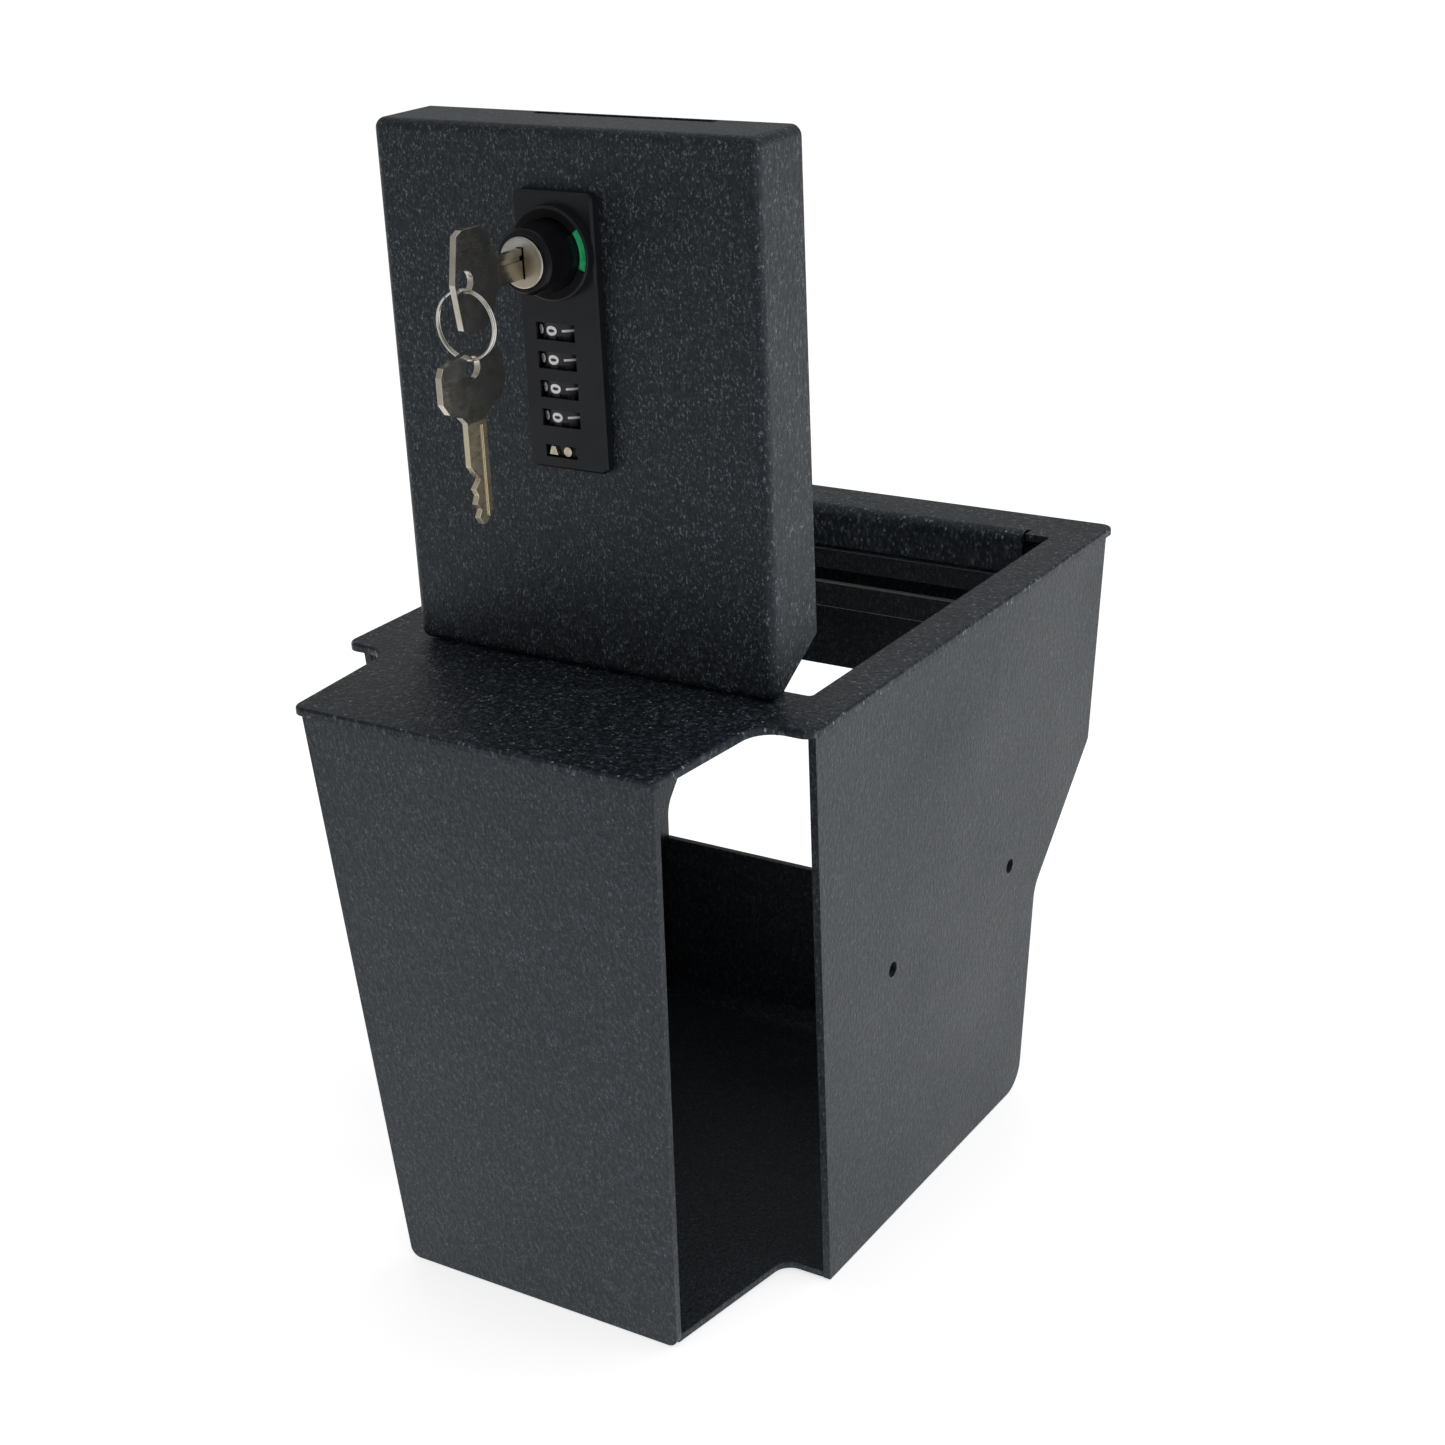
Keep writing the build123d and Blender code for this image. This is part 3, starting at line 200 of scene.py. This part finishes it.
def powder_coat(name="powder_coat", highlight_lines=(), glint_scale=1300.0, glint=(0.200, 0.215, 0.235), share=0.62,
                lift=1.0, gloss=0.40, grain_sheen_noise=(1350.0, 0.55, 0.54, 0.69), wrinkle=0.35):
    """Black textured coat; highlight_lines are heights where a painted highlight runs along a sheet edge.

    glint_scale is the number of painted glints per metre, bright specks that stand in for light caught by the
    gloss; glint is their colour and share how strongly they show.
    lift scales the ground colour, as painted light above 1 and painted shade below it. grain_sheen_noise
    gives the scale, strength and two thresholds of the pale grain, partly the coat's own grain and partly
    painted sheen. wrinkle is how far it gathers into short crossing strokes.
    """
    s = Shader(name)
    flow = s.mapped(GRAIN_LIE)
    grain = s.noise(780.0, 3.0, 0.62, flow)
    fine = s.noise(2300.0, 2.0, 0.6)
    drift = s.noise(16.0, 3.0, 0.55)
    ground = s.ramp(grain, [(0.36, (0.0030, 0.0040, 0.0056)),
                            (0.50, (0.0062, 0.0080, 0.0106)),
                            (0.60, (0.0135, 0.0165, 0.0210)),
                            (0.72, (0.032, 0.037, 0.044))])
    tint = s.ramp(drift, [(0.3, scaled((0.82, 0.83, 0.86), lift)), (0.7, scaled((1.15, 1.14, 1.14), lift))])
    colour = s.mix(1.0, ground, tint, "MULTIPLY")
    # pale grain, partly the coat's own grain and partly painted sheen, gathered into crossing strokes
    scale, most, start, full = grain_sheen_noise
    grain_and_sheen = s.span(s.noise(scale, 4.0, 0.78, flow), 0.0, most, start, full)
    strokes = [s.noise(430.0, 2.0, 0.55, s.mapped(STROKE_LIE, vector=s.mapped(turn=(lean, lean, 0.0))))
               for lean in STROKE_LEANS]
    crossing = s.span(s.math("MAXIMUM", *strokes), 1.0 - wrinkle, 1.0 + wrinkle, 0.48, 0.66)
    colour = s.mix(s.math("MULTIPLY", grain_and_sheen, crossing), colour, GRAIN_AND_SHEEN_GREY)
    # painted glints: bright specks that stand in for light caught by the coat's gloss
    middle, draw = s.cells(glint_scale, flow)
    painted_glints = s.span(middle, 1.0, 0.0, 0.12, 0.32)
    chosen = s.span(draw, 0.0, share, 0.62, 0.95)
    colour = s.mix(s.math("MULTIPLY", painted_glints, chosen), colour, glint)
    # painted highlight lines along sheet edges at the given heights
    for height in highlight_lines:
        line = s.math("COMPARE", s.along("Z"), height, EDGE_HIGHLIGHT_HALF)
        colour = s.mix(s.math("MULTIPLY", line, EDGE_HIGHLIGHT_SHARE), colour, EDGE_HIGHLIGHT_GREY)
    rough = s.vary(s.average(drift, fine), 0.36, 0.54)
    normal = s.bump(fine, 0.40, 0.00007, s.bump(grain, 1.0, 0.00038))
    return s.finish(colour, rough, normal, Specular_IOR_Level=gloss, Specular_Tint=COAT_CAST)


def lacquer():
    """Satin black of the lock, with painted shade in the ring between knob and collar."""
    s = Shader("lock_black")
    drift = s.noise(60.0, 3.0, 0.55)
    colour = s.ramp(drift, [(0.3, (0.0075, 0.0085, 0.0105)), (0.7, (0.013, 0.014, 0.017))])
    lo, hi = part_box("knob")
    axis = ((lo.x + hi.x) / 2, 0.0, (lo.z + hi.z) / 2)
    # painted shade in the ring round the knob, rougher there to dull its gloss
    ring_shade = s.span(s.distance(axis, s.mapped((1.0, 0.0, 1.0))), 1.0, 0.0, *RING_SHADE_REACH)
    colour = s.mix(ring_shade, colour, PAINTED_RING_SHADE)
    rough = s.math("ADD", s.vary(drift, 0.30, 0.40), s.math("MULTIPLY", ring_shade, 0.5))
    normal = s.bump(s.noise(2400.0, 2.0, 0.55), 0.25, 0.00006)
    return s.finish(colour, rough, normal, Specular_IOR_Level=0.26)


def satin(name, fine, cloud, dark, pale, rough, bump, **constants):
    """Plain moulded or painted finish: cloud varies colour and roughness, fine gives the bump.

    fine and cloud are a noise's scale, detail and roughness, bump its strength and height.
    """
    s = Shader(name)
    drift = s.noise(*cloud)
    colour = s.ramp(drift, [(0.3, dark), (0.7, pale)])
    return s.finish(colour, s.vary(drift, *rough), s.bump(s.noise(*fine), *bump), **constants)


def enamel(name, dark, pale):
    return satin(name, (1800.0, 2.0), (520.0, 3.0), dark, pale, (0.24, 0.40), (0.15, 0.00003))


def metal(name, scale, lie, cloud, stops, rough, bump):
    """Bare metal with streaks of the given scale and lie over clouds of colour."""
    s = Shader(name)
    streak = s.noise(scale, 3.0, 0.6, s.mapped(lie))
    colour = s.ramp(s.noise(*cloud), stops)
    return s.finish(colour, s.vary(streak, *rough), s.bump(streak, *bump), Metallic=1.0)


def nickel(name, low, high, warmth=0.0, shade=1.0, blade=None, dark_centre=None):
    """Nickel plate between two roughness values, rubbed towards brass by warmth.

    dark_centre is the centre of a darker spot, darkest within a few millimetres of it.
    worn is the centre of a dark, rubbed spot.
    """
    s = Shader(name)
    tumble = s.noise(420.0, 1.0)
    scratch = s.noise(2600.0, 2.0, 0.5, s.mapped((1.0, 0.10, 1.0), (0.5, 0.2, 0.3)))
    drift = s.noise(150.0, 4.0, 0.6)
    colour = s.ramp(drift, [(place, scaled(tone, shade)) for place, tone in zip((0.3, 0.5, 0.7), NICKEL)])
    rubbed = s.span(s.noise(90.0, 2.0), 0.0, warmth, 0.38, 0.62)
    colour = s.mix(rubbed, colour, RUBBED_BRASS)
    rough = s.span(s.average(tumble, scratch), low, high, 0.35, 0.65)
    if blade is not None:
        below = s.span(s.along("Z"), 1.0, 0.0, blade - BLADE_BLEND, blade + BLADE_BLEND)
        colour = s.mix(s.math("MULTIPLY", below, 0.7), colour, BLADE_BRASS)
        rough = s.math("ADD", rough, s.math("MULTIPLY", below, 0.10))
    # a spot that is darker within a few millimetres of its centre
    if dark_centre is not None:
        colour = s.mix(s.span(s.distance(dark_centre), 0.80, 0.0, *CENTRE_DARK_REACH), colour, CENTRE_DARK)
    normal = s.bump(s.noise(70.0, 0.0), 0.25, 0.00030, s.bump(scratch, 0.04, 0.00001))
    return s.finish(colour, rough, normal, Metallic=1.0)


def studs():
    """Brass thumbs on a blackened base, told apart by their depth."""
    s = Shader("studs")
    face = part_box("code_slider")[0].y
    front = s.span(s.along("Y"), 1.0, 0.0, face + STUD_DEPTH[0], face + STUD_DEPTH[1])
    drift = s.noise(420.0, 3.0, 0.6)
    brass = s.ramp(drift, [(0.3, (0.40, 0.34, 0.22)), (0.55, (0.66, 0.60, 0.46)), (0.75, (0.74, 0.71, 0.62))])
    s.link(front, s.bsdf.inputs["Metallic"])
    rough = s.vary(s.noise(1500.0, 2.0), 0.24, 0.42)
    return s.finish(s.mix(front, STUD_BASE, brass), rough, s.bump(drift, 0.3, 0.00005))


def pale_floor():
    """White sweep lit from below. Its light fades in front of the object, its look does not."""
    s = Shader("studio_floor")
    drift = s.noise(3.0, 2.0)
    colour = s.ramp(drift, [(0.3, (0.86, 0.86, 0.86)), (0.7, (0.89, 0.89, 0.89))])
    glow = s.span(s.along("Y"), GLOW_FAR, 1.0, *GLOW_RANGE)
    glow = s.math("MAXIMUM", glow, s.add("ShaderNodeLightPath").outputs["Is Camera Ray"])
    s.link(s.mix(glow, (0.0, 0.0, 0.0), (1.0, 1.0, 1.0)), s.bsdf.inputs["Emission Color"])
    return s.finish(colour, s.vary(drift, 0.75, 0.85), Emission_Strength=FLOOR_GLOW)


def plug_face():
    lo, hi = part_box("key_plug")
    return ((lo.x + hi.x) / 2, lo.y, (lo.z + hi.z) / 2)


def bare_heights():
    """Heights of the strike plate's upper edge, the lower edge of its slot and its foot, where painted
    highlights run.
    """
    lo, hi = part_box("strike_plate")
    node = NODES["strike_plate"]
    spots = [node.matrix_world @ v.co for v in node.data.vertices]
    slot_half = 47 * MM
    inner = [p.z for p in spots if abs(p.x) < slot_half and lo.z + MM < p.z < hi.z - MM]
    return hi.z, min(inner), lo.z


MATS = {
    "powder_coat": powder_coat(),
    # strike plate: the coat with painted highlight lines along its edges
    "strike_coat_edge_highlights": powder_coat("strike_coat_edge_highlights", bare_heights()),
    # plate: the coat with painted light, a lighter ground and bigger, brighter painted glints
    "plate_coat_lit": powder_coat("plate_coat_lit", glint_scale=680.0, glint=(0.46, 0.48, 0.51), share=0.85, lift=1.5,
                              gloss=0.30, grain_sheen_noise=(620.0, 0.75, 0.54, 0.68)),
    # lid: the coat with painted shade, a darker ground and stronger painted sheen strokes
    "lid_coat_shaded": powder_coat("lid_coat_shaded", glint_scale=1150.0, glint=(0.22, 0.24, 0.27), share=0.58, lift=0.75,
                            grain_sheen_noise=(1300.0, 0.82, 0.540, 0.660), wrinkle=0.75),
    "lock_black": lacquer(),
    "knob_black": satin("knob_black", (2600.0, 2.0, 0.55), (140.0, 3.0, 0.55), (0.003, 0.003, 0.004),
                        (0.006, 0.006, 0.008), (0.20, 0.28), (0.16, 0.00005), Specular_IOR_Level=0.20),
    "dial_black": satin("dial_black", (2100.0, 2.0), (200.0, 3.0), (0.008, 0.009, 0.012),
                        (0.016, 0.017, 0.022), (0.32, 0.48), (0.2, 0.00003)),
    "green": enamel("green", (0.012, 0.42, 0.13), (0.045, 0.62, 0.24)),
    "red": enamel("red", (0.38, 0.02, 0.015), (0.60, 0.05, 0.04)),
    "digit_white": enamel("digit_white", (0.82, 0.82, 0.82), (0.94, 0.94, 0.94)),
    "zinc": metal("zinc", 900.0, (1.0, 0.06, 1.0), (45.0, 4.0, 0.6),
                  [(0.3, (0.42, 0.42, 0.41)), (0.5, (0.55, 0.55, 0.54)), (0.72, (0.63, 0.62, 0.60))],
                  (0.26, 0.44), (0.22, 0.00004)),
    "casting": metal("casting", 1300.0, (1.0, 1.0, 1.0), (70.0, 4.0, 0.6),
                     [(0.28, (0.21, 0.21, 0.215)), (0.72, (0.33, 0.33, 0.335))],
                     (0.40, 0.58), (0.35, 0.00008)),
    "spring_steel": metal("spring_steel", 1500.0, (1.0, 1.0, 0.08), (120.0, 3.0),
                          [(0.3, (0.34, 0.35, 0.37)), (0.7, (0.52, 0.52, 0.53))],
                          (0.22, 0.40), (0.20, 0.00003)),
    "nickel": nickel("nickel", 0.12, 0.24),
    "key_nickel": nickel("key_nickel", 0.16, 0.23, 0.30, 0.80),
    "spare_nickel": nickel("spare_nickel", 0.16, 0.23, 0.30, 0.80,
                           blade=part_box("spare_key")[1].z - BOW_HEIGHT),
    "plug_nickel": nickel("plug_nickel", 0.26, 0.38, 0.40, 0.66, dark_centre=plug_face()),
    "studs": studs(),
}

# ---------------------------------------------------- CAD pieces: paint and edges
# Pieces whose material isn't the one named after their slot.
COAT = {
    "knob": "knob_black",
    "key_in_lock": "key_nickel",
    "spare_key": "spare_nickel",
    "key_plug": "plug_nickel",
    "code_slider": "studs",
    "strike_plate": "strike_coat_edge_highlights",
    "top_plate": "plate_coat_lit",
    "lid_shell": "lid_coat_shaded",
}
# Width in mm by which sharp edges are broken, and the pieces that have it.
EDGES = {
    0.75: ["top_plate"],
    0.35: ["front_panel", "side_panel_left", "side_panel_right", "floor_pan", "rear_panel_upper",
           "hinge_angle"],
    0.30: ["strike_plate", "rest_tab_left", "rest_tab_right", "lid_shell", "cam"],
    0.25: ["lock_case"],
    0.24: ["key_in_lock", "spare_key"],
    0.15: ["hinge_leaf_fixed", "hinge_leaf_lid", "cam_screw", "spindle_barrel"],
    0.12: ["lock_faceplate", "code_slider", "knob", "locking_bar", "lock_screws"],
    0.08: ["key_plug"],
}
WELD_REACH = 0.002 * MM                 # joins the CAD mesh where its faces meet
BEVEL_STEPS = 2
BEVEL_FROM = math.radians(35)           # edges that turn by more than this are broken


def paint(obj, material):
    if not obj.material_slots:
        obj.data.materials.append(material)
    for slot in obj.material_slots:
        slot.material = material


def break_edges(obj, width):
    weld = obj.modifiers.new("weld", "WELD")
    weld.merge_threshold = WELD_REACH
    bevel = obj.modifiers.new("bevel", "BEVEL")
    bevel.width = width * MM
    bevel.segments = BEVEL_STEPS
    bevel.limit_method = "ANGLE"
    bevel.angle_limit = BEVEL_FROM
    bevel.harden_normals = False
    bevel.use_clamp_overlap = True


for part in frame["record"]["subparts"]:
    paint(NODES[part["node"]], MATS[COAT.get(part["node"], part["material_slot"])])
for width, names in EDGES.items():
    for name in names:
        break_edges(NODES[name], width)


def piece(name, bm, slot, body, smooth):
    """A new object from the mesh, riding on a CAD body; edges flatter than smooth degrees look round."""
    mesh = bpy.data.meshes.new(name)
    bm.normal_update()
    bm.to_mesh(mesh)
    bm.free()
    obj = bpy.data.objects.new(name, mesh)
    scene.collection.objects.link(obj)
    mesh.polygons.foreach_set("use_smooth", [True] * len(mesh.polygons))
    mesh.set_sharp_from_angle(angle=math.radians(smooth))
    mesh.materials.append(MATS[slot])
    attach(obj, body)
    return obj


# -------------------------------------------------------------- digits on dials
DIALS = 4
DIGITS = 10
DIGIT_TALL = 3.5 * MM
DIGIT_WIDE = 2.8 * MM
ONE_WIDE = DIGIT_WIDE * 0.24
DIGIT_SKIN = 0.05 * MM                  # height of a digit above the wheel, and its depth in it
DIGIT_BOLD = 0.035                      # of the letter height
DIGIT_CURVE = 6                         # steps in each curve of its outline
DIGIT_BANDS = 9                         # strips that a digit is cut into, to bend round the wheel
FIRST_DIGIT = math.radians(1.0)
DIGIT_STEP = math.radians(360 / DIGITS)


def digit_mesh(text):
    curve = bpy.data.curves.new("digit", "FONT")
    curve.body = text
    curve.align_x = "CENTER"
    curve.size = 1.0
    curve.offset = DIGIT_BOLD
    curve.resolution_u = DIGIT_CURVE
    holder = bpy.data.objects.new("digit", curve)
    scene.collection.objects.link(holder)
    bpy.context.view_layer.update()
    mesh = bpy.data.meshes.new_from_object(holder)
    bpy.data.objects.remove(holder)
    return mesh


def wrapped_digit(value, axis, radius, middle):
    """One digit, laid round a wheel and given a thickness."""
    mesh = digit_mesh(str(value))
    bm = bmesh.new()
    bm.from_mesh(mesh)
    bpy.data.meshes.remove(mesh)
    xs = [v.co.x for v in bm.verts]
    ys = [v.co.y for v in bm.verts]
    x0, x1, y0, y1 = min(xs), max(xs), min(ys), max(ys)
    wide = ONE_WIDE if value == 1 else DIGIT_WIDE
    for band in range(1, DIGIT_BANDS):
        y = y0 + (y1 - y0) * band / DIGIT_BANDS
        geom = bm.verts[:] + bm.edges[:] + bm.faces[:]
        bmesh.ops.bisect_plane(bm, geom=geom, plane_co=(0, y, 0), plane_no=(0, 1, 0))
    bmesh.ops.triangulate(bm, faces=bm.faces[:])
    raised = bmesh.ops.extrude_face_region(bm, geom=bm.faces[:])
    top = {v for v in raised["geom"] if isinstance(v, bmesh.types.BMVert)}
    for v in bm.verts:
        up = ((v.co.y - y0) / (y1 - y0) - 0.5) * DIGIT_TALL
        across = ((v.co.x - x0) / (x1 - x0) - 0.5) * wide
        angle = FIRST_DIGIT + DIGIT_STEP * value + up / radius
        r = radius + (DIGIT_SKIN if v in top else -DIGIT_SKIN)
        v.co = Vector((axis.x + r * math.sin(angle), axis.y - r * math.cos(angle), middle - across))
    bmesh.ops.recalc_face_normals(bm, faces=bm.faces[:])
    mesh = bpy.data.meshes.new("digit")
    bm.to_mesh(mesh)
    bm.free()
    return mesh


def dial_digits(node):
    lo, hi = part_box(node)
    axis = (lo + hi) / 2
    radius = (hi.x - lo.x) / 2
    middle = (lo.z + hi.z) / 2
    bm = bmesh.new()
    for value in range(DIGITS):
        mesh = wrapped_digit(value, axis, radius, middle)
        bm.from_mesh(mesh)
        bpy.data.meshes.remove(mesh)
    piece(f"{node}_digits", bm, "digit_white", f"{node}_wheel", smooth=30)


for number in range(1, DIALS + 1):
    dial_digits(f"dial_{number}")

# ------------------------------------------------------------------- split ring
WIRE_SIDES = 12
WIRE_FIT = 0.97                         # share of its room that a turn fills, so that the two don't touch
RING_TURNS = 1.96
RING_POINTS = 190
RING_START = 2.3                        # angle of the wire's first end, in radians
RING_STEP_OVER = 9                      # how quickly the wire steps from one turn to the next


def tube(bm, path, radius):
    """A round wire along a list of points, closed at both ends."""
    rings = []
    up = Vector((0, 1, 0))
    for i, p in enumerate(path):
        before, after = path[max(i - 1, 0)], path[min(i + 1, len(path) - 1)]
        forward = (after - before).normalized()
        side = forward.cross(up).normalized()
        lift = side.cross(forward).normalized()
        ring = []
        for k in range(WIRE_SIDES):
            a = 2 * math.pi * k / WIRE_SIDES
            ring.append(bm.verts.new(p + side * radius * math.cos(a) + lift * radius * math.sin(a)))
        rings.append(ring)
    for a, b in zip(rings, rings[1:]):
        for k in range(WIRE_SIDES):
            n = (k + 1) % WIRE_SIDES
            bm.faces.new((a[k], a[n], b[n], b[k]))
    bm.faces.new(rings[0][::-1])
    bm.faces.new(rings[-1])
    bmesh.ops.recalc_face_normals(bm, faces=bm.faces[:])


def split_ring():
    """Two turns of wire side by side, in place of the CAD's torus."""
    lo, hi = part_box("key_ring")
    centre = (lo + hi) / 2
    wire = (hi.y - lo.y) / 4
    radius = (hi.x - lo.x) / 2 - 2 * wire
    path = []
    for i in range(RING_POINTS + 1):
        t = i / RING_POINTS
        a = 2 * math.pi * RING_TURNS * t + RING_START
        swell = math.tanh((t - 0.5) * RING_STEP_OVER) * wire
        path.append(centre + Vector((radius * math.cos(a), swell, radius * math.sin(a))))
    bm = bmesh.new()
    tube(bm, path, wire * WIRE_FIT)
    obj = piece("split_ring", bm, "nickel", "ring", smooth=40)
    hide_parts("key_ring")


split_ring()

# ----------------------------------------------------------------- the studio
FLOOR_HALF = 14.0
FLOOR_DROP = 0.4 * MM                   # keeps the floor clear of the object's underside
SKY_LIGHT = 0.42                        # strength of the surroundings as light on the object
SKY_SEEN = 1.0                          # and as the camera sees them


def area(name, place, aim, size, power):
    data = bpy.data.lights.new(name, "AREA")
    data.shape = "RECTANGLE"
    data.size, data.size_y = size
    data.energy = power
    lamp = bpy.data.objects.new(name, data)
    scene.collection.objects.link(lamp)
    lamp.location = place
    lamp.rotation_mode = "QUATERNION"
    lamp.rotation_quaternion = (Vector(aim) - Vector(place)).to_track_quat("-Z", "Y")


def floor():
    bm = bmesh.new()
    bmesh.ops.create_grid(bm, x_segments=8, y_segments=8, size=FLOOR_HALF)
    mesh = bpy.data.meshes.new("floor")
    bm.to_mesh(mesh)
    bm.free()
    obj = bpy.data.objects.new("floor", mesh)
    scene.collection.objects.link(obj)
    obj.location.z = -FLOOR_DROP
    mesh.materials.append(pale_floor())


def surroundings():
    world = bpy.data.worlds.new("studio")
    scene.world = world
    world.use_nodes = True
    nodes, links = world.node_tree.nodes, world.node_tree.links
    background = nodes["Background"]
    background.inputs["Color"].default_value = (1.0, 1.0, 1.0, 1.0)
    level = nodes.new("ShaderNodeMapRange")
    level.inputs["To Min"].default_value = SKY_LIGHT
    level.inputs["To Max"].default_value = SKY_SEEN
    links.new(nodes.new("ShaderNodeLightPath").outputs["Is Camera Ray"], level.inputs["Value"])
    links.new(level.outputs["Result"], background.inputs["Strength"])


floor()
surroundings()
area("soft_right", place=(1.5, 0.25, 0.75), aim=(0, 0, 0.15), size=(1.6, 1.4), power=5)
area("soft_top", place=(0.1, 0.5, 2.0), aim=(0, 0, 0.1), size=(1.8, 1.8), power=4.5)
scene.view_settings.view_transform = "Standard"
scene.view_settings.look = "None"

# ----------------------------------------------------------------- the camera
lens = bpy.data.cameras.new("camera")
lens.sensor_width = 36.0
lens.lens = 60.68
lens.clip_start = 0.01
lens.clip_end = 60.0
camera = bpy.data.objects.new("camera", lens)
scene.collection.objects.link(camera)
# Columns: the camera's right, up and back directions, and where it stands.
camera.matrix_world = Matrix((
    (0.84707, -0.16676, 0.50465, 0.40482),
    (0.52972, 0.34223, -0.77607, -0.61741),
    (-0.04329, 0.92470, 0.37822, 0.45522),
    (0.0, 0.0, 0.0, 1.0),
))
scene.camera = camera
